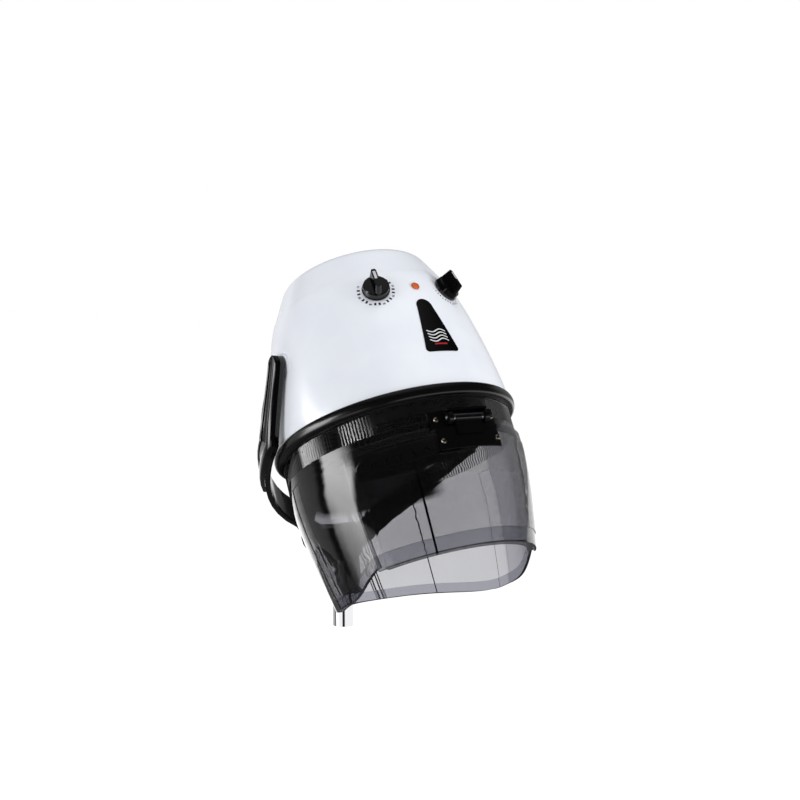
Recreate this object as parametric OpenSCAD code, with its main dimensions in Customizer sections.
// Hood hair dryer for a salon stand.
// A bell-shaped housing with fan and heater hangs tilted in a two-armed fork
// on a chrome stem. A smoked clear skirt hangs below it and a clear visor
// opens at the front. Millimetres, +Z up, origin at the centre of the stem's
// lower end. The head is drawn upright about its own axis and then tilted.

/* [Head] */
// Backward tilt of the head as it stands
head_tilt = 27.4; // [17.5:0.1:45]
// Height of the tilt pivot above the ring profile, along the head's axis
pivot_h = 110; // [100:1:125]
// Height of the tilt pivot above the lower end of the stem
pivot_z = 400.5; // [392:0.1:430]
// How far the stem's axis lies inside the cap's radius, measured back from the tilt pivot
pivot_inset = 76.1; // [60:0.1:82]

/* [Cap] */
// Outer radius of the cap at its lower edge
cap_r = 169.5; // [164:0.5:172]
// Outer radius of the cap at the lid seam
seam_r = 129; // [122:0.5:134]
// Height of the lid seam above the cap's lower edge
seam_h = 200; // [190:1:210]
// Outer radius of the lid at its top rim
rim_r = 107.6; // [98:0.2:112]
// Height of the lid's top rim above the seam
lid_rise = 43; // [32:1:50]
// Rounding of the lid's rim
rim_round = 15; // [8:1:20]
// Rise of the lid's crown above its rim
crown_h = 13; // [6:1:20]
// Wall thickness of cap and lid
cap_wall = 3; // [2:0.1:3.6]
// Number of air inlet slots in the lid
inlet_count = 24; // [12:1:28]

/* [Ring profile] */
// Depth of the ring profile outside the cap
ring_out = 6.4; // [3:0.1:7]
// Height of the ring profile above the cap's lower edge
ring_up = 7.5; // [3:0.5:8]
// Height of the ring profile below the cap's lower edge
ring_down = 10.5; // [8:0.5:11]

/* [Skirt] */
// How far the skirt's outer face lies inside the cap's lower edge
skirt_inset = 4; // [3:0.1:5]
// How much smaller the skirt's radius is at its deepest corner
skirt_taper = 27.5; // [22:0.1:34]
// Wall thickness of the skirt and the visor
clear_wall = 3; // [2:0.1:3.4]
// Depth of the skirt at its back
skirt_back = 198; // [185:1:210]
// Depth of the skirt at its side corners
skirt_depth = 231; // [222:0.5:240]
// Depth of the skirt at the edges of its front opening
skirt_front = 205; // [198:1:212]
// Half angle of the front opening
opening_half = 60; // [50:1:63]
// Depth at which the front opening starts
opening_top = 60; // [58:0.5:64]
// Number of flutes in the band below the ring profile
flute_count = 232; // [120:2:240]
// Depth of the flutes
flute_depth = 1.2; // [0.6:0.1:1.4]
// Depth of the fluted band's lower edge
flute_low = 41; // [38:0.5:46]
// Height of the thicker border along the skirt's edge
lip_h = 14; // [10:0.5:18]
// Depth of the thicker border inside the wall
lip_in = 2; // [1:0.1:4]

/* [Visor] */
// Half angle of the visor
visor_half = 61; // [56:0.5:64]
// Gap between skirt and visor
visor_gap = 1; // [0.8:0.1:2]
// Depth of the visor's upper edge
visor_top = 52; // [50:0.2:54]
// Depth of the visor's lower edge
visor_low = 210; // [200:1:214]
// Width of the visor's turned-in lower lip
visor_lip = 12; // [8:0.5:16]
// Height of the visor's thicker lower border
border_h = 20; // [14:0.5:26]
// How far the middle pane stands out of the visor's border
pane_raise = 0.8; // [0.5:0.1:1.2]

/* [Hinge] */
// Height of the hinge pin below the cap's lower edge
hinge_depth = 43.4; // [42:0.2:45]
// Diameter of the hinge barrel
barrel_d = 11; // [9:0.2:12]
// Length of the hinge barrel
barrel_len = 51; // [40:1:56]
// Diameter of the hinge pin
hinge_pin_d = 5; // [4:0.1:6]
// Half width of the hinge base plate
base_half = 52; // [50:0.5:58]
// Half width of the hinge leaf
leaf_half = 48; // [46:0.5:52]
// Height of the hinge leaf
leaf_h = 30; // [28:0.5:40]
// Diameter of the hinge screw heads
screw_head_d = 7.6; // [6:0.2:9]
// Diameter of the hinge screws' shanks
screw_d = 3.6; // [3:0.1:4.4]

/* [Knobs] */
// Depth of the knobs' centres below the lid seam
knob_drop = 35.5; // [28:0.5:45]
// Angle of each knob from the front
knob_angle = 23.6; // [19:0.2:32]
// Diameter of the knobs
knob_d = 39; // [34:0.5:42]
// Height of the knobs' round skirt
knob_skirt_h = 11; // [8:0.5:13]
// Total height of the knobs above the cap
knob_total_h = 24.5; // [22:0.5:30]
// Thickness of the knobs' bar grip
grip_w = 7.5; // [6:0.1:9]
// Diameter of the knob spindles
spindle_d = 6; // [5:0.1:7]
// Diameter of the pilot lamp
lamp_d = 12; // [9:0.5:14]

/* [Fork] */
// Width of the fork arms at the pivot
arm_w = 30; // [26:0.5:32]
// How much wider the fork arms are where they turn back
arm_widen = 6; // [0:0.5:8]
// Thickness of the fork arms
arm_t = 8.4; // [7:0.2:9]
// Thickness of the covers on the fork arms at their front bead
cover_t = 6.6; // [4:0.2:8]
// Rearward bulge of the arms behind their covers
arm_bulge = 6; // [3:0.5:9]
// Half width of the yoke block
yoke_half = 36; // [30:1:42]
// Outer diameter of the yoke's socket
socket_d = 44; // [42:0.5:48]
// Diameter of the pivot bolts
pivot_d = 12; // [10:0.2:14]

/* [Stem] */
// Outer diameter of the stem
stem_d = 35; // [32:0.5:36]
// Wall thickness of the stem
stem_wall = 1.8; // [1.2:0.1:2.5]
// Free length of the stem below the socket
stem_free = 47; // [40:1:60]
// Length of the stem inside the socket
stem_in = 48; // [40:1:52]

/* [Fan] */
// Number of fan blades
blade_count = 10; // [6:1:12]
// Outer radius of the fan
fan_r = 104; // [90:1:106]
// Radius of the heater ring
heater_r = 120; // [116:0.5:122]
// Diameter of the heater tube
heater_d = 7; // [6:0.2:8]
// Outer radius of the motor
motor_r = 45; // [38:0.5:50]
// Diameter of the motor shaft
shaft_d = 8; // [6:0.1:10]

/* [Hidden] */
$fn = 96;
eps = 0.01;
// clearances
run_fit = 0.03;
seat_gap = 0.3;
// steps along the curved profiles
steps = 20;
// measures that follow from the ones above
pivot_y = cap_r - pivot_inset;
rim_h = seam_h + lid_rise;
knob_h = seam_h - knob_drop;
skirt_r = cap_r - skirt_inset;
skirt_low_r = skirt_r - skirt_taper;
// the stem is turned down where it sits in the yoke
stem_step = 0.3;
socket_r = stem_d / 2 - stem_step;

// ---- profiles ----
function bez(a, b, c, d, t) =
    pow(1 - t, 3) * a + 3 * pow(1 - t, 2) * t * b + 3 * (1 - t) * t * t * c + pow(t, 3) * d;
function curve(a, b, c, d, n) = [for (i = [0:n]) bez(a, b, c, d, i / n)];
function shift_r(pts, dr) = [for (p = pts) [p[0] + dr, p[1]]];
function shift_y(pts, dy) = [for (p = pts) [p[0], p[1] + dy]];
function flip(pts) = [for (i = [len(pts) - 1:-1:0]) pts[i]];
function by_height(pts) = [for (p = pts) [p[1], p[0]]];
function unit(v) = v / norm(v);

// outer line of the cap from its lower edge to the seam
cap_line = curve([cap_r, 0], [cap_r + 4.5, seam_h * 0.1], [seam_r + 19, seam_h - 25],
    [seam_r, seam_h], steps);
function cap_at(z) = lookup(z, by_height(cap_line));
// outer line of the lid from the seam to the crown
crown_r = (pow(rim_r - rim_round, 2) + pow(crown_h, 2)) / (2 * crown_h);
lid_line = concat(
    [[seam_r, seam_h]],
    curve([rim_r + 4, rim_h - 9], [rim_r - 1.5, rim_h + 2.5], [rim_r - 6, rim_h + 4],
        [rim_r - rim_round, rim_h + 5], 8),
    [for (i = [1:10]) let (r = (rim_r - rim_round) * (1 - i / 10))
        [r, rim_h + 5 + sqrt(pow(crown_r, 2) - r * r) - (crown_r - crown_h)]]);
// outer line of the skirt, from the top down
skirt_z0 = -50;
skirt_line = curve([skirt_r, skirt_z0], [skirt_r, skirt_z0 - 31],
    [skirt_low_r + 29.5, skirt_z0 - 53], [skirt_low_r, -skirt_depth - 3], steps);
function skirt_at(z) = z > skirt_z0 ? skirt_r : lookup(z, by_height(flip(skirt_line)));
// the skirt's lower edge seen from the side, from back to front
edge_line = concat(
    [[220, -skirt_back]],
    curve([150, -skirt_back], [122, -skirt_back - 5], [74, 1.5 - skirt_depth], [34, -skirt_depth], 12),
    curve([8, -skirt_depth], [-28, -skirt_depth], [-34, -skirt_front - 14], [-66, -skirt_front], 12),
    [[-220, -skirt_front]]);

// ---- places ----
// the knobs and the lamp stand square on the cap's shoulder
panel_r = cap_at(knob_h);
panel_tilt = atan((cap_at(knob_h - 8) - cap_at(knob_h + 8)) / 16);
// hinge pin in front of the fluted band
hinge_y = -(skirt_r + 6.6);
// the hinge base lies on the flutes, the leaf on the visor
base_in = skirt_r;
base_out = base_in + 3.6;
base_low = hinge_depth + 10.7;
base_high = hinge_depth - 13;
visor_in = visor_gap;
visor_out = visor_gap + clear_wall;
leaf_in = visor_out + 0.1;
leaf_out = leaf_in + 3.1;
leaf_top = base_low + 0.9;
leaf_low = leaf_top + leaf_h;
base_screw_z = -(hinge_depth - 1);
base_screw_x = base_half - 8;
leaf_screw_z = -(leaf_top + leaf_h * 0.62);
leaf_screw_x = leaf_half - 4.6;
// the visor's raised pane
pane_top = visor_top + 14;
pane_low = visor_low - border_h;
tab_half = leaf_half + 4;
tab_low = leaf_low + 4;
// pivot stack from the head outwards
boss_x = cap_at(pivot_h) + 1.6;
boss_r = 22;
washer_t = 1.5;
arm_face_x = boss_x + washer_t;
bush_len = 11;
bush_r = pivot_d / 2 + 4;
pivot_end_x = boss_x - bush_len - 3;
// fork
stem_top = stem_free + stem_in;
yoke_back = 36;
yoke_front = 6;
yoke_low = stem_free + 34;
yoke_side = yoke_low + 26;
yoke_high = yoke_low + 68;
// fan and its drive, above the inner tray
tray_z = 2;
tray_t = 3;
tray_r = cap_r - cap_wall - 0.4;
tray_hole_r = 62;
heater_z = tray_z + tray_t + 9;
fan_z = heater_z + heater_d / 2 + 6.5;
fan_h = 25;
carrier_z = fan_z + fan_h + 8;
carrier_t = 4;
post_ring_r = tray_r - 24;
motor_z = carrier_z + carrier_t;
cover_h = 6;
stator_h = 30;
rotor_r = motor_r / 2;

// puts the upright head into its tilted place in the fork
module in_head() {
    translate([0, -pivot_y, pivot_z])
        rotate([-head_tilt, 0, 0])
            translate([0, 0, -pivot_h])
                children();
}

// puts a fitting square on the cap's shoulder, its +Z outward and +Y up the cap
module on_panel(angle) {
    rotate([0, 0, angle])
        translate([0, -panel_r, knob_h])
            rotate([90 - panel_tilt, 0, 0])
                children();
}

// lays a turned fitting along +X on both sides
module both_sides() {
    children();
    mirror([1, 0, 0]) children();
}

// a wall turned about the head's axis: outer line less its thickness
module turned_wall(line, t) {
    rotate_extrude()
        polygon(concat(line, flip(shift_r(line, -t))));
}

// a turned wall over part of the circle, centred on the front
module front_wall(line, t, half) {
    rotate([0, 0, -90 - half])
        rotate_extrude(angle = 2 * half)
            polygon(concat(line, flip(shift_r(line, -t))));
}

// a block cut out of a turned ring between two heights, centred on the front
module front_ring(r0, r1, low, high, half) {
    rotate([0, 0, -90 - half])
        rotate_extrude(angle = 2 * half)
            translate([r0, low]) square([r1 - r0, high - low]);
}

// ---- stem and fork ----
module stem_tube() {
    color("silver")
    difference() {
        union() {
            cylinder(h = stem_free, d = stem_d);
            cylinder(h = stem_top, r = socket_r);
        }
        translate([0, 0, -1]) cylinder(h = stem_top + 2, r = stem_d / 2 - stem_wall);
    }
}

module fork_yoke() {
    color([0.06, 0.06, 0.07])
    difference() {
        union() {
            translate([0, 0, stem_free + seat_gap]) cylinder(h = stem_in + 5, d = socket_d);
            // block behind the stem that takes both arms, its lower edge a blunt V
            translate([0, yoke_back, 0]) rotate([90, 0, 0])
                linear_extrude(height = yoke_back - yoke_front)
                    polygon([[-yoke_half, yoke_side], [-8, yoke_low], [8, yoke_low],
                        [yoke_half, yoke_side], [yoke_half, yoke_high], [-yoke_half, yoke_high]]);
            // web between socket and block
            translate([-8, 12, stem_free + 12])
                cube([16, yoke_back - 16, yoke_low - stem_free]);
        }
        translate([0, 0, stem_free - 1]) cylinder(h = stem_in + 1, r = socket_r + run_fit);
        // bore of the clamp screw
        translate([0, 0, stem_free + 24]) rotate([-90, 0, 0]) cylinder(h = 60, r = 3);
        // chamfers that lighten the block's upper corners
        for (s = [-1, 1])
            translate([s * yoke_half, yoke_back, 0])
                rotate([0, 0, 45])
                    translate([-5, -5, yoke_low - 1]) cube([10, 10, yoke_high]);
    }
}

module yoke_screw() {
    color("silver")
    translate([0, socket_r + run_fit, stem_free + 24])
        rotate([-90, 0, 0]) {
            cylinder(h = yoke_back - 4 - socket_r + eps, r = 3);
            translate([0, 0, yoke_back - 4 - socket_r]) cylinder(h = 6, r = 5);
        }
}

// centre line of an arm: down past the head's side, then round behind it
arm_top = [arm_face_x + 5, -pivot_y - 6.5, pivot_z + 19];
arm_mid = [cap_r + ring_out + 8.1, -pivot_y - 19, pivot_z - 100];
arm_back = [cap_r - 89.7, -9.6, yoke_low + 95.2];
arm_end = [yoke_half - 6, 20, yoke_low + 43.5];
arm_path = concat(
    [for (t = concat([0, 0.004, 0.014, 0.03, 0.055, 0.085], [for (i = [2:14]) i / 14]))
        bez(arm_top, arm_top + [3.5, 0, -45], arm_mid + [-2, 0, 34], arm_mid, t)],
    [for (i = [1:12]) bez(arm_mid, arm_mid + [1.5, 0, -2], arm_back + [83.7, 2.7, 41.3],
        arm_back, i / 12)],
    [for (i = [1:6]) bez(arm_back, arm_back + [-24, 9, -16], arm_end + [28, 0, 14],
        arm_end, i / 6)]);
function along(p, i) = unit(p[min(i + 1, len(p) - 1)] - p[max(i - 1, 0)]);
// outward direction, square to the path
function outward(p, i) = let (t = along(p, i), v = unit([p[i][0], p[i][1] + pivot_y, 0]))
    unit(v - (v * t) * t);
// share of the full width near the rounded top end
function round_end(d, r) = d >= r ? 1 : sqrt(max(0.02, 1 - pow((r - d) / r, 2)));
function top_dist(p, i) = p[0][2] - p[i][2];
// rearward bulge along the arm
function bulge(p, i) = let (d = top_dist(p, i))
    d > 30 && d < 112 ? arm_bulge * pow(sin((d - 30) / 82 * 180), 1.3) : 0;
// half width of the arm at a station
function arm_half(p, i) = (arm_w + arm_widen * min(1, max(0, (top_dist(p, i) - 20) / 110))) / 2
    * round_end(top_dist(p, i) + 0.4, arm_w / 2);

// sweeps a row of outlines, one for each station, into one closed skin
module sweep(rings) {
    n = len(rings[0]);
    m = len(rings);
    polyhedron(
        points = [for (r = rings) each r],
        faces = concat(
            [[for (j = [n - 1:-1:0]) j]],
            [for (i = [0:m - 2], j = [0:n - 1]) let (k = (j + 1) % n)
                [i * n + j, i * n + k, (i + 1) * n + k]],
            [for (i = [0:m - 2], j = [0:n - 1]) let (k = (j + 1) % n)
                [i * n + j, (i + 1) * n + k, (i + 1) * n + j]],
            [[for (j = [0:n - 1]) (m - 1) * n + j]]));
}

// outline of the arm at one station: w to the front, n outward
function arm_outline(w0, w1, n0, n1, c) = [
    [w0, n1], [w0 + 0.1, n0 + c], [w0 + c * 0.35, n0 + c * 0.35], [w0 + c, n0],
    [w1 - c, n0], [w1 - c * 0.35, n0 + c * 0.35], [w1 - 0.1, n0 + c], [w1, n1]];
// outline of the cover: a rear rim, a valley and a round front bead on a flat back
function cover_height(u) = max(
    u > -0.05 ? cover_t * sqrt(max(0, 1 - pow((u - 0.45) / 0.52, 2))) : 0,
    u < -0.5 ? 0.66 * cover_t * sqrt(max(0, 1 - pow((u + 0.76) / 0.24, 2))) : 0,
    0.3 * cover_t * min(1, (1.001 - abs(u)) * 12));
function cover_outline(hw, n1) = concat(
    [for (i = [0:18]) let (u = 1 - i / 9) [u * hw, n1 + max(0.05, cover_height(u))]],
    [[-hw, n1], [hw, n1]]);
arm_n0 = -5;
arm_n1 = arm_n0 + arm_t;

function place(p, i, q) = let (t = along(p, i), o = outward(p, i), w = cross(t, o))
    p[i] + q[0] * w + q[1] * o;

module arm_loft() {
    sweep([for (i = [0:len(arm_path) - 1])
        let (k = round_end(top_dist(arm_path, i) + 0.4, arm_w / 2), hw = arm_half(arm_path, i))
        [for (q = arm_outline(-hw - bulge(arm_path, i), hw, arm_n0, arm_n1, 3 * k))
            place(arm_path, i, q)]]);
}

module cover_loft() {
    // the cover ends where the arm dives behind the skirt
    last = 26;
    sweep([for (i = [0:last])
        let (e = min(1, 0.35 + (last - i) / 5), hw = arm_half(arm_path, i) * e)
        [for (q = cover_outline(hw, arm_n1 + 0.2)) place(arm_path, i, q)]]);
}

module fork_arm() {
    color([0.05, 0.05, 0.06])
    difference() {
        union() {
            arm_loft();
            // pad round the pivot
            translate([arm_face_x, -pivot_y, pivot_z]) rotate([0, 90, 0]) cylinder(h = 3, r = 12.5);
        }
        translate([arm_face_x - 20, -pivot_y, pivot_z]) rotate([0, 90, 0]) cylinder(h = 20, r = 30);
        translate([arm_face_x - 20, -pivot_y, pivot_z])
            rotate([0, 90, 0]) cylinder(h = 60, r = pivot_d / 2 + run_fit);
        // seat of the bolt head
        translate([arm_face_x + 4, -pivot_y, pivot_z])
            rotate([0, 90, 0]) cylinder(h = 12, r = pivot_d / 2 + 3.5);
        // the end lies flat on the yoke
        translate([-60, -60, 0]) cube([60 + yoke_half, 140, 400]);
    }
}

module fork_arm_right() { fork_arm(); }
module fork_arm_left() { mirror([1, 0, 0]) fork_arm(); }
module arm_cover() {
    color([0.08, 0.08, 0.09]) cover_loft();
}
module arm_cover_right() { arm_cover(); }
module arm_cover_left() { mirror([1, 0, 0]) arm_cover(); }

bolt_head_x = arm_face_x + 4;
module pivot_bolts() {
    color("silver")
    both_sides()
        translate([0, -pivot_y, pivot_z]) rotate([0, 90, 0]) {
            translate([0, 0, pivot_end_x - 10])
                cylinder(h = bolt_head_x - pivot_end_x + 10 + eps, d = pivot_d);
            translate([0, 0, bolt_head_x]) cylinder(h = 2, r = pivot_d / 2 + 3.2);
        }
}

module pivot_nuts() {
    color("gray")
    both_sides()
        translate([pivot_end_x - 8, -pivot_y, pivot_z]) rotate([0, 90, 0])
            difference() {
                cylinder(h = 7.5, r = pivot_d / 2 + 4.5, $fn = 6);
                translate([0, 0, -1]) cylinder(h = 10, d = pivot_d, $fn = 96);
            }
}

module friction_washers() {
    color([0.2, 0.2, 0.2])
    both_sides()
        translate([boss_x, -pivot_y, pivot_z]) rotate([0, 90, 0])
            difference() {
                cylinder(h = washer_t, r = 12.5);
                translate([0, 0, -1]) cylinder(h = washer_t + 2, r = pivot_d / 2 + run_fit);
            }
}

// ---- cap ----
module cap_shell() {
    color([0.93, 0.93, 0.95])
    in_head()
    difference() {
        union() {
            turned_wall(cap_line, cap_wall);
            // bosses that carry the pivot bushes
            both_sides()
                translate([boss_x - bush_len, 0, pivot_h]) rotate([0, 90, 0])
                    cylinder(h = bush_len, r = boss_r);
        }
        // flat faces and bores of the bosses
        both_sides()
            translate([boss_x, 0, pivot_h]) rotate([0, 90, 0]) {
                cylinder(h = 20, r = boss_r + 1.5);
                translate([0, 0, -bush_len - 1]) cylinder(h = bush_len + 2, r = bush_r);
            }
        // spindle bushes and lamp
        for (a = [-knob_angle, knob_angle])
            on_panel(a) translate([0, 0, -12]) cylinder(h = 20, r = spindle_d / 2 + 2);
        on_panel(0) translate([0, 0, -12]) cylinder(h = 20, r = lamp_d / 2 - 1);
        // cable gland at the back
        translate([0, cap_r - 20, gland_h]) rotate([-90, 0, 0]) cylinder(h = 30, r = gland_r);
    }
}

module cap_lid() {
    inner = shift_r(lid_line, 0);
    color([0.95, 0.95, 0.97])
    in_head()
    difference() {
        union() {
            rotate_extrude()
                polygon(concat(lid_line, [[0, rim_h + 2.5]],
                    [for (i = [len(lid_line) - 2:-1:1])
                        [max(0, lid_line[i][0] - cap_wall), lid_line[i][1] - cap_wall * 0.85]],
                    [[seam_r - cap_wall, seam_h]]));
            // spigot that centres the lid in the cap
            rotate_extrude()
                translate([seam_r - cap_wall - 3.4, seam_h - 8]) square([3, 10.5]);
        }
        // air inlets in a ring on the crown
        for (i = [0:inlet_count - 1])
            rotate([0, 0, (i + 0.5) * 360 / inlet_count])
                translate([46, -2.5, rim_h - 6]) cube([36, 5, 40]);
    }
}

// the rubber profile grips the cap's edge above and the skirt's edge below
ring_core_z = -5;
module ring_profile() {
    out_r = cap_r + ring_out;
    mid_z = (ring_up - ring_down) / 2;
    half_h = (ring_up + ring_down) / 2;
    in_r = skirt_r - clear_wall - 4.5;
    color([0.03, 0.03, 0.035])
    in_head()
    rotate_extrude()
        difference() {
            union() {
                polygon(concat(
                    [[in_r, -ring_down]],
                    [for (a = [-90:10:90])
                        [cap_r + ring_out - 7 + 7 * pow(cos(a), 0.8), mid_z + half_h * sin(a)]],
                    [[cap_r - 0.5, ring_up], [cap_r - 0.5, tray_z], [in_r, tray_z]]));
            }
            // grooves for cap and skirt
            translate([cap_r - cap_wall - 0.4, 0])
                square([cap_at(ring_up + 1) - cap_r + cap_wall + 0.45, ring_up + 1]);
            translate([skirt_r - clear_wall, -ring_down - 1])
                square([clear_wall, ring_down + 1 + ring_core_z]);
        }
}

module pivot_bushes() {
    color("beige")
    in_head()
    both_sides()
        translate([boss_x, 0, pivot_h]) rotate([0, 90, 0])
            difference() {
                union() {
                    translate([0, 0, -bush_len]) cylinder(h = bush_len, r = bush_r);
                    translate([0, 0, -bush_len - 3]) cylinder(h = 3, r = bush_r + 5);
                }
                translate([0, 0, -bush_len - 4])
                    cylinder(h = bush_len + 5, r = pivot_d / 2 + run_fit);
            }
}

gland_h = 34;
gland_r = 8;
gland_seat = cap_at(gland_h - gland_r - 3);
module cable_gland() {
    color([0.05, 0.05, 0.05])
    in_head()
    translate([0, gland_seat, gland_h]) rotate([-90, 0, 0])
        difference() {
            union() {
                translate([0, 0, -14]) cylinder(h = 15, r = gland_r);
                cylinder(h = 4, r = gland_r + 3);
                cylinder(h = 14, r = gland_r - 1.5);
                translate([0, 0, -14]) cylinder(h = 8, r = gland_r + 3);
            }
            translate([0, 0, -20]) cylinder(h = 40, r = 3.6);
        }
}

badge_top = seam_h - 58;
badge_low = seam_h - 144.5;
badge_r = 12.5;
badge_half = 26;
module badge_panel() {
    color([0.05, 0.05, 0.06])
    in_head()
    intersection() {
        turned_wall(shift_r(cap_line, 0.6), 0.6);
        translate([0, -cap_r - 10, 0]) rotate([-90, 0, 0])
            linear_extrude(height = cap_r) union() {
                translate([0, badge_r - badge_top]) circle(r = badge_r);
                polygon([[-badge_r, badge_r - badge_top], [badge_r, badge_r - badge_top],
                    [badge_half, -badge_low - 5], [-badge_half, -badge_low - 5]]);
                // rounded lower corners
                for (s = [-1, 1]) translate([s * (badge_half - 5), -badge_low - 5]) circle(r = 5);
                translate([5 - badge_half, -badge_low - 5]) square([2 * badge_half - 10, 5]);
            }
    }
}

module pilot_lamp() {
    color("orange")
    in_head() on_panel(0)
        rotate_extrude()
            polygon([[0, -10], [lamp_d / 2 - 1, -10], [lamp_d / 2 - 1, 0.2], [lamp_d / 2, 0.2],
                [lamp_d / 2, 1.4], [lamp_d / 2 - 0.8, 2.4], [lamp_d / 2 - 2.4, 3.1], [0, 3.4]]);
}

// ---- skirt ----
module skirt_outline(rise) {
    rotate([90, 0, 90])
        translate([0, 0, -200])
            linear_extrude(height = 400)
                polygon(concat([[-220, 30], [220, 30]], shift_y(edge_line, rise)));
}

module opening_wedge(half, top) {
    translate([0, 0, -300])
        linear_extrude(height = 300 - top)
            polygon([[0, 0], [-300 * sin(half), -300 * cos(half)], [0, -340],
                [300 * sin(half), -300 * cos(half)]]);
}

module skirt() {
    // the band's wall lies below the flutes
    band_r = skirt_r - flute_depth - 0.7;
    crest_r = skirt_r - 0.3;
    wall_line = concat([[skirt_r, ring_core_z], [skirt_r, -ring_down - 0.5],
        [band_r, -ring_down - 0.5], [band_r, -flute_low]], [[skirt_r, -flute_low]], skirt_line);
    channel_line = [for (p = skirt_line) if (p[1] < skirt_z0 - 2) p];
    step = 360 / flute_count;
    color([0.45, 0.45, 0.5, 0.5])
    in_head()
    difference() {
        union() {
            intersection() {
                union() {
                    rotate_extrude()
                        polygon(concat(wall_line, flip(shift_r(skirt_line, -clear_wall)),
                            [[skirt_r - clear_wall, ring_core_z]]));
                    // turned-in lip along the lower edge
                    difference() {
                        rotate_extrude()
                            polygon(concat(shift_r(skirt_line, -clear_wall + 0.5),
                                flip(shift_r(skirt_line, -clear_wall - lip_in))));
                        skirt_outline(lip_h);
                    }
                }
                skirt_outline(0);
            }
            // fluted band
            difference() {
                translate([0, 0, -flute_low - 0.4])
                    linear_extrude(height = flute_low - ring_down + 0.3)
                        polygon([for (i = [0:flute_count - 1], k = [0, 1])
                            let (a = (i + k / 2) * step, r = crest_r - k * flute_depth)
                            [r * sin(a), r * cos(a)]]);
                translate([0, 0, -60]) cylinder(h = 60, r = skirt_r - clear_wall + 0.5);
            }
        }
        opening_wedge(opening_half, opening_top);
        // shallow moulded channels at the sides and the back
        for (c = [[100, 4.6], [-100, 4.6], [180, 1.2]])
            rotate([0, 0, c[0] - 90 - c[1]])
                rotate_extrude(angle = 2 * c[1])
                    polygon(concat(shift_r(channel_line, -0.8), flip(shift_r(channel_line, 2))));
        // screw holes of the hinge base
        for (s = [-1, 1])
            translate([s * base_screw_x, -100, base_screw_z])
                rotate([90, 0, 0]) cylinder(h = 100, r = screw_d / 2 + run_fit);
    }
}

// ---- hinge on the skirt ----
ear_t = 6.5;
ear_r = 8.5;
module hinge_base() {
    color([0.04, 0.04, 0.045])
    in_head()
    difference() {
        union() {
            intersection() {
                front_ring(base_in, base_out, -base_low, -base_high, 30);
                translate([-base_half, -220, -100]) cube([2 * base_half, 120, 100]);
            }
            // ears that hold the pin
            for (s = [-1, 1])
                translate([s * (barrel_len / 2 + 0.3 + ear_t / 2), 0, 0]) {
                    translate([-ear_t / 2, hinge_y, -hinge_depth]) rotate([0, 90, 0])
                        cylinder(h = ear_t, r = ear_r);
                    translate([-ear_t / 2, hinge_y, -hinge_depth - ear_r])
                        cube([ear_t, 14, 2 * ear_r]);
                }
            // hood over the barrel
            translate([-barrel_len / 2 - 6, hinge_y - 6, -hinge_depth + ear_r])
                cube([barrel_len + 12, 12, 3.2]);
        }
        // the base lies on the fluted band
        translate([0, 0, -80]) cylinder(h = 80, r = base_in);
        // room for the barrel and its sleeve
        translate([-barrel_len / 2 - 0.3, hinge_y, -hinge_depth]) rotate([0, 90, 0])
            cylinder(h = barrel_len + 0.6, r = barrel_d / 2 + 1.6);
        translate([-barrel_len / 2 - 0.3, hinge_y - 2, -hinge_depth - 20])
            cube([barrel_len + 0.6, 5.9, 20]);
        translate([-60, hinge_y, -hinge_depth]) rotate([0, 90, 0])
            cylinder(h = 120, r = hinge_pin_d / 2);
        for (s = [-1, 1])
            translate([s * base_screw_x, -100, base_screw_z])
                rotate([90, 0, 0]) cylinder(h = 120, r = screw_d / 2 + run_fit);
    }
}

module hinge_pin() {
    len = barrel_len + 0.6 + 2 * ear_t;
    color("silver")
    in_head()
    translate([-len / 2, hinge_y, -hinge_depth]) rotate([0, 90, 0])
        cylinder(h = len, d = hinge_pin_d);
}

// round-headed screw, its head outward along +Z, seated at z = 0
module round_screw(shank) {
    hr = screw_head_d / 2;
    rotate_extrude()
        polygon([[0, -shank], [screw_d / 2, -shank], [screw_d / 2, 0], [hr, 0], [hr * 0.97, 0.7],
            [hr * 0.82, 1.5], [hr * 0.5, 2.1], [0, 2.4]]);
}

module base_screws() {
    seat = sqrt(pow(base_out, 2) - pow(base_screw_x - screw_head_d / 2, 2));
    color("silver")
    in_head()
    for (s = [-1, 1])
        translate([s * base_screw_x, -seat, base_screw_z])
            rotate([90, 0, 0]) round_screw(15);
}

// ---- visor ----
function visor_line(dr) = [for (i = [0:16]) let (z = -visor_top - (visor_low - visor_top) * i / 16)
    [skirt_at(z) + dr, z]];

// outline of the raised pane: round upper corners, and a dip round the hinge leaf
module pane_outline() {
    corner = 17;
    side = (skirt_r + visor_out) * sin(visor_half - 5.5);
    difference() {
        union() {
            translate([-side - 5, -pane_low])
                square([2 * side + 10, pane_low - pane_top - corner]);
            translate([corner - side, -pane_top - corner - 5])
                square([2 * (side - corner), corner + 5]);
            for (s = [-1, 1]) translate([s * (side - corner), -pane_top - corner]) circle(r = corner);
        }
        translate([-tab_half, 6 - tab_low]) square([2 * tab_half, 60]);
        translate([6 - tab_half, -tab_low]) square([2 * tab_half - 12, 60]);
        for (s = [-1, 1]) translate([s * (tab_half - 6), 6 - tab_low]) circle(r = 6);
    }
}

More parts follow.
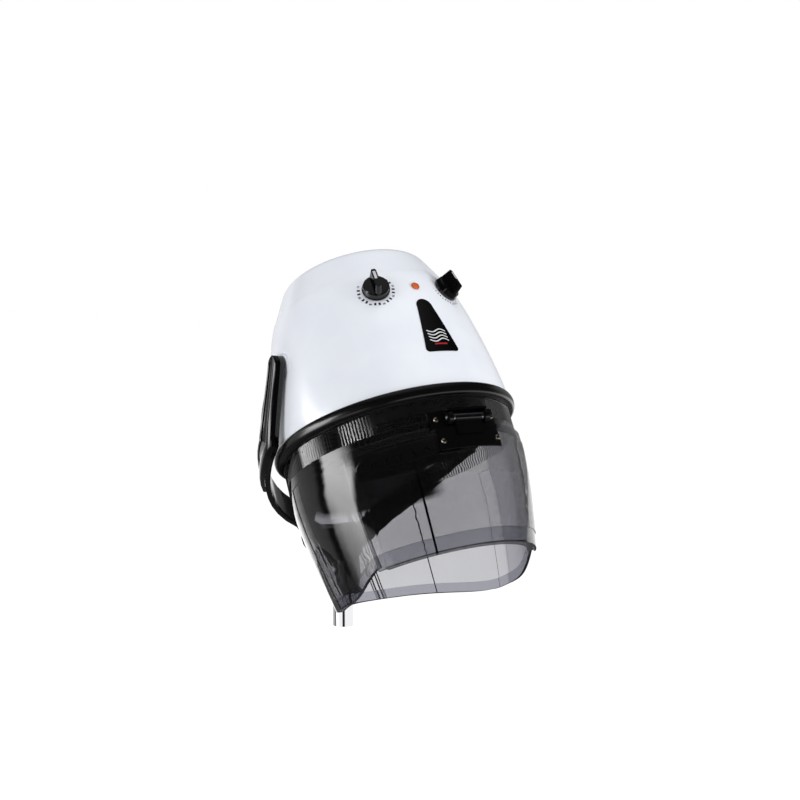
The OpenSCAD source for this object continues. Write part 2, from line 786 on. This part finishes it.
module visor_panel() {
    lip_r = skirt_at(-visor_low) + visor_out;
    border_line = [for (i = [0:4]) let (z = -pane_low - (border_h - 1) * i / 4)
        [skirt_at(z) + visor_in + 0.3, z]];
    color([0.5, 0.5, 0.55, 0.45])
    in_head()
    difference() {
        union() {
            front_wall(visor_line(visor_out), clear_wall, visor_half);
            // raised middle pane with rounded upper corners
            intersection() {
                front_wall(visor_line(visor_out + pane_raise), pane_raise + 0.5, visor_half - 5.5);
                translate([0, -60, 0]) rotate([90, 0, 0]) linear_extrude(height = 160) pane_outline();
            }
            // thicker border along the lower edge
            front_wall(border_line, 1.5, visor_half - 5);
            // turned-in lower lip
            front_ring(lip_r - visor_lip, lip_r, -visor_low, -visor_low + clear_wall,
                visor_half - 4);
        }
        // notch round the hinge base
        translate([-base_half - 1.5, -skirt_r - 20, -base_low - 2.3])
            cube([2 * base_half + 3, 70, 60]);
        for (s = [-1, 1])
            translate([s * leaf_screw_x, -100, leaf_screw_z])
                rotate([90, 0, 0]) cylinder(h = 120, r = screw_d / 2 + run_fit);
    }
}

module hinge_leaf() {
    r0 = skirt_r + leaf_in;
    r1 = skirt_r + leaf_out;
    color([0.04, 0.04, 0.045])
    in_head()
    difference() {
        union() {
            intersection() {
                front_ring(r0, r1, -leaf_low, -leaf_top, 30);
                translate([-leaf_half, -220, -120]) cube([2 * leaf_half, 120, 120]);
            }
            // thicker middle with the sleeve of the barrel
            translate([-21, -r1 - 2, -leaf_top - 12]) cube([42, 6, 12]);
            translate([-21, hinge_y - 2.2, -leaf_top - 2]) cube([42, 4.4, leaf_top - hinge_depth]);
            translate([-21, hinge_y, -hinge_depth]) rotate([0, 90, 0])
                difference() {
                    cylinder(h = 42, r = barrel_d / 2 + 1);
                    translate([-20, -20, -1]) cube([20, 40, 44]);
                }
        }
        translate([-40, hinge_y, -hinge_depth]) rotate([0, 90, 0])
            cylinder(h = 80, d = barrel_d);
        // lies on the visor
        translate([0, 0, -150]) cylinder(h = 150, r = r0);
        for (s = [-1, 1])
            translate([s * leaf_screw_x, -100, leaf_screw_z])
                rotate([90, 0, 0]) cylinder(h = 120, r = screw_d / 2 + run_fit);
    }
}

module hinge_barrel() {
    color("gray")
    in_head()
    translate([0, hinge_y, -hinge_depth]) rotate([0, 90, 0])
        difference() {
            translate([0, 0, -barrel_len / 2]) cylinder(h = barrel_len, d = barrel_d);
            translate([0, 0, -barrel_len]) cylinder(h = 2 * barrel_len, r = hinge_pin_d / 2 + run_fit);
            // set screw hole in the middle
            rotate([0, -90, 90]) cylinder(h = barrel_d, r = 1.6);
            for (z = [-16, 16])
                translate([0, 0, z]) rotate_extrude()
                    translate([barrel_d / 2 - 0.5, -0.6]) square([2, 1.2]);
        }
}

module leaf_screws() {
    seat = sqrt(pow(skirt_r + leaf_out, 2) - pow(leaf_screw_x - screw_head_d / 2, 2));
    color("silver")
    in_head()
    for (s = [-1, 1])
        translate([s * leaf_screw_x, -seat, leaf_screw_z])
            rotate([90, 0, 0]) round_screw(11);
}

// ---- knobs, each with its spindle; +Z outward, +Y up the cap ----
knob_low = 1.2;
bore_top = knob_total_h - 7;
module knob() {
    r = knob_d / 2;
    top = knob_total_h;
    color([0.05, 0.05, 0.06])
    difference() {
        union() {
            rotate_extrude()
                polygon([[0, knob_low + 3], [r - 2, knob_low + 3], [r - 2, knob_low], [r, knob_low],
                    [r, knob_low + 2.2], [r - 0.7, knob_low + 2.6], [r - 1.6, knob_skirt_h - 1.2],
                    [r - 2.8, knob_skirt_h], [0, knob_skirt_h + 0.8]]);
            translate([0, 0, knob_low]) cylinder(h = knob_skirt_h - knob_low, r = spindle_d / 2 + 3);
            // bar grip, wider at its foot, its tip up the cap
            hull() {
                for (y = [-r + 8, r - 6])
                    translate([0, y, knob_skirt_h - 2]) cylinder(h = 2, r = grip_w * 0.75, $fn = 24);
                for (y = [-r + 9, r - 5])
                    translate([0, y, top - 1.5]) cylinder(h = 1.5, r = grip_w / 2, $fn = 24);
            }
        }
        translate([0, 0, -1]) cylinder(h = bore_top + 1, r = spindle_d / 2);
        // slit at the tip of the pointer
        translate([-0.6, r - 7, top - 1]) cube([1.2, 8, 2]);
    }
}

module spindle() {
    color("silver")
    translate([0, 0, -20]) cylinder(h = 20 + bore_top, d = spindle_d);
}

// switch body behind the cap with its threaded bush and nut
module control_body(size, depth) {
    difference() {
        union() {
            translate([-size / 2, -size / 2, -depth - 7]) cube([size, size, depth]);
            translate([0, 0, -7.5]) cylinder(h = 8, r = spindle_d / 2 + 2);
            translate([0, 0, -7.5]) cylinder(h = 4, r = 10);
            // solder tags
            for (x = [-8, 0, 8]) translate([x - 2.4, -size / 4, -depth - 15]) cube([4.8, 0.8, 8.5]);
        }
        translate([0, 0, -21]) cylinder(h = 40, r = spindle_d / 2 + run_fit);
    }
}

module timer_switch() {
    color("ivory") in_head() on_panel(-knob_angle) control_body(38, 24);
}
module thermostat() {
    color("gray") in_head() on_panel(knob_angle) control_body(34, 18);
}
module timer_knob() { in_head() on_panel(-knob_angle) knob(); }
module timer_spindle() { in_head() on_panel(-knob_angle) spindle(); }
module temp_knob() { in_head() on_panel(knob_angle) knob(); }
module temp_spindle() { in_head() on_panel(knob_angle) spindle(); }

// ---- inside of the hood ----
module inner_tray() {
    color([0.06, 0.06, 0.07])
    in_head()
    difference() {
        union() {
            translate([0, 0, tray_z]) cylinder(h = tray_t, r = tray_r);
            // collar round the air inlet
            translate([0, 0, tray_z]) cylinder(h = tray_t + 3, r = tray_hole_r + 3);
        }
        translate([0, 0, tray_z - 1]) cylinder(h = 20, r = tray_hole_r);
        // outlets under the heater ring
        for (i = [0:35])
            rotate([0, 0, i * 10 + 5])
                translate([0, 0, tray_z - 1]) {
                    translate([heater_r - 8, -2.5, 0]) cube([24, 5, 10]);
                    translate([heater_r - 8, 0, 0]) cylinder(h = 10, r = 2.5);
                    translate([heater_r + 16, 0, 0]) cylinder(h = 10, r = 2.5);
                }
    }
}

module finger_guard() {
    guard_r = tray_hole_r + 6;
    bar = 2.4;
    pitch = (tray_hole_r - 12) / 6;
    color([0.1, 0.1, 0.1])
    in_head()
    translate([0, 0, tray_z - bar])
        difference() {
            cylinder(h = bar, r = guard_r);
            // windows between the rings and the six spokes
            for (i = [0:5], k = [0:5])
                let (r0 = 12 + i * pitch, half = asin(bar / 2 / (r0 + pitch / 2)))
                rotate([0, 0, k * 60 + half])
                    rotate_extrude(angle = 60 - 2 * half)
                        translate([r0, -1]) square([pitch - bar, bar + 2]);
        }
}

module motor_carrier() {
    color("silver")
    in_head()
    difference() {
        union() {
            translate([0, 0, carrier_z]) {
                cylinder(h = carrier_t, r = motor_r + 4);
                for (i = [0:2])
                    rotate([0, 0, i * 120 + 90]) {
                        translate([motor_r - 2, -9, 0]) cube([post_ring_r - motor_r + 2, 18, carrier_t]);
                        translate([post_ring_r, 0, 0]) cylinder(h = carrier_t, r = 9);
                    }
            }
            for (i = [0:2])
                rotate([0, 0, i * 120 + 90])
                    translate([post_ring_r, 0, tray_z + tray_t])
                        cylinder(h = carrier_z - tray_z - tray_t + 0.5, r = 5);
        }
        translate([0, 0, carrier_z - 1]) cylinder(h = 10, r = 14);
        for (i = [0:5])
            rotate([0, 0, i * 60 + 30])
                translate([32, 0, carrier_z - 1]) cylinder(h = 10, r = 7);
    }
}

module motor_stator() {
    color("gray")
    in_head()
    translate([0, 0, motor_z + cover_h])
        difference() {
            cylinder(h = stator_h, r = motor_r);
            translate([0, 0, -1]) cylinder(h = stator_h + 2, r = rotor_r + 0.4);
        }
}

module motor_covers() {
    color("silver")
    in_head()
    for (z = [motor_z, motor_z + cover_h + stator_h])
        translate([0, 0, z])
            difference() {
                cylinder(h = cover_h, r = motor_r);
                translate([0, 0, -1]) cylinder(h = cover_h + 2, r = shaft_d / 2 + run_fit);
                for (i = [0:5])
                    rotate([0, 0, i * 60]) translate([motor_r * 0.62, 0, -1])
                        cylinder(h = cover_h + 2, r = 6);
            }
}

module heater_ring() {
    gap = 16;
    color("dimgray")
    in_head()
    translate([0, 0, heater_z]) {
        rotate([0, 0, 90 + gap / 2])
            rotate_extrude(angle = 360 - gap) translate([heater_r, 0]) circle(d = heater_d, $fn = 32);
        for (s = [-1, 1])
            rotate([0, 0, 90 + s * gap / 2]) {
                translate([heater_r, 0, 0]) sphere(d = heater_d, $fn = 32);
                // ends turned inward, under the fan
                translate([heater_r, 0, 0]) rotate([0, -90, 0]) cylinder(h = 18, d = heater_d, $fn = 32);
            }
    }
}

module heater_clips() {
    color("white")
    in_head()
    for (a = [30, 120, 240, 330])
        rotate([0, 0, a - 90 - 3])
            rotate_extrude(angle = 6)
                difference() {
                    translate([heater_r - heater_d / 2 - 3, tray_z + tray_t])
                        square([heater_d + 6, heater_z - tray_z - tray_t + heater_d / 2 + 2]);
                    translate([heater_r, heater_z]) circle(d = heater_d, $fn = 32);
                }
}

module terminal_block() {
    color("white")
    in_head()
    translate([34, 0, motor_z])
        rotate([0, 0, 0])
            translate([-34 - 24, motor_r + 12, 0]) difference() {
                cube([48, 16, 18]);
                for (i = [0:3])
                    translate([6 + i * 12, -1, 9]) rotate([-90, 0, 0]) cylinder(h = 20, r = 2.6);
            }
}

module blade() {
    // flat paddle that bends back a little and grows in height toward its tip
    n = 10;
    mid = [for (i = [0:n]) let (r = 13 + (fan_r - 13.5) * i / n, a = 14 * pow(i / n, 1.6)) [r, a]];
    side = [for (s = [-1, 1]) [for (p = mid)
        [p[0] * cos(p[1]) - s * 1.1 * sin(p[1]), p[0] * sin(p[1]) + s * 1.1 * cos(p[1])]]];
    intersection() {
        linear_extrude(height = fan_h) polygon(concat(side[0], flip(side[1])));
        rotate_extrude()
            polygon([[0, 6], [fan_r * 0.6, 0], [fan_r, 0], [fan_r, fan_h], [fan_r * 0.6, fan_h],
                [0, fan_h - 6]]);
    }
}

module fan_wheel() {
    color([0.1, 0.1, 0.1])
    in_head()
    translate([0, 0, fan_z])
        difference() {
            union() {
                cylinder(h = fan_h - 3, r = 16);
                for (i = [0:blade_count - 1]) rotate([0, 0, i * 360 / blade_count]) blade();
            }
            translate([0, 0, -1]) cylinder(h = fan_h + 2, d = shaft_d);
        }
}

module motor_rotor() {
    color("silver")
    in_head() {
        translate([0, 0, fan_z - 3])
            cylinder(h = motor_z + 2 * cover_h + stator_h + 6 - fan_z + 3, d = shaft_d);
        translate([0, 0, motor_z + cover_h + 2]) cylinder(h = stator_h - 4, r = rotor_r);
    }
}

stem_tube();
fork_yoke();
fork_arm_left();
fork_arm_right();
arm_cover_left();
arm_cover_right();
yoke_screw();
pivot_bolts();
pivot_nuts();
friction_washers();
cap_shell();
cap_lid();
ring_profile();
skirt();
pivot_bushes();
inner_tray();
finger_guard();
motor_carrier();
motor_stator();
motor_covers();
heater_ring();
heater_clips();
timer_switch();
thermostat();
terminal_block();
pilot_lamp();
badge_panel();
cable_gland();
hinge_base();
hinge_pin();
base_screws();
visor_panel();
hinge_leaf();
hinge_barrel();
leaf_screws();
timer_knob();
timer_spindle();
temp_knob();
temp_spindle();
fan_wheel();
motor_rotor();
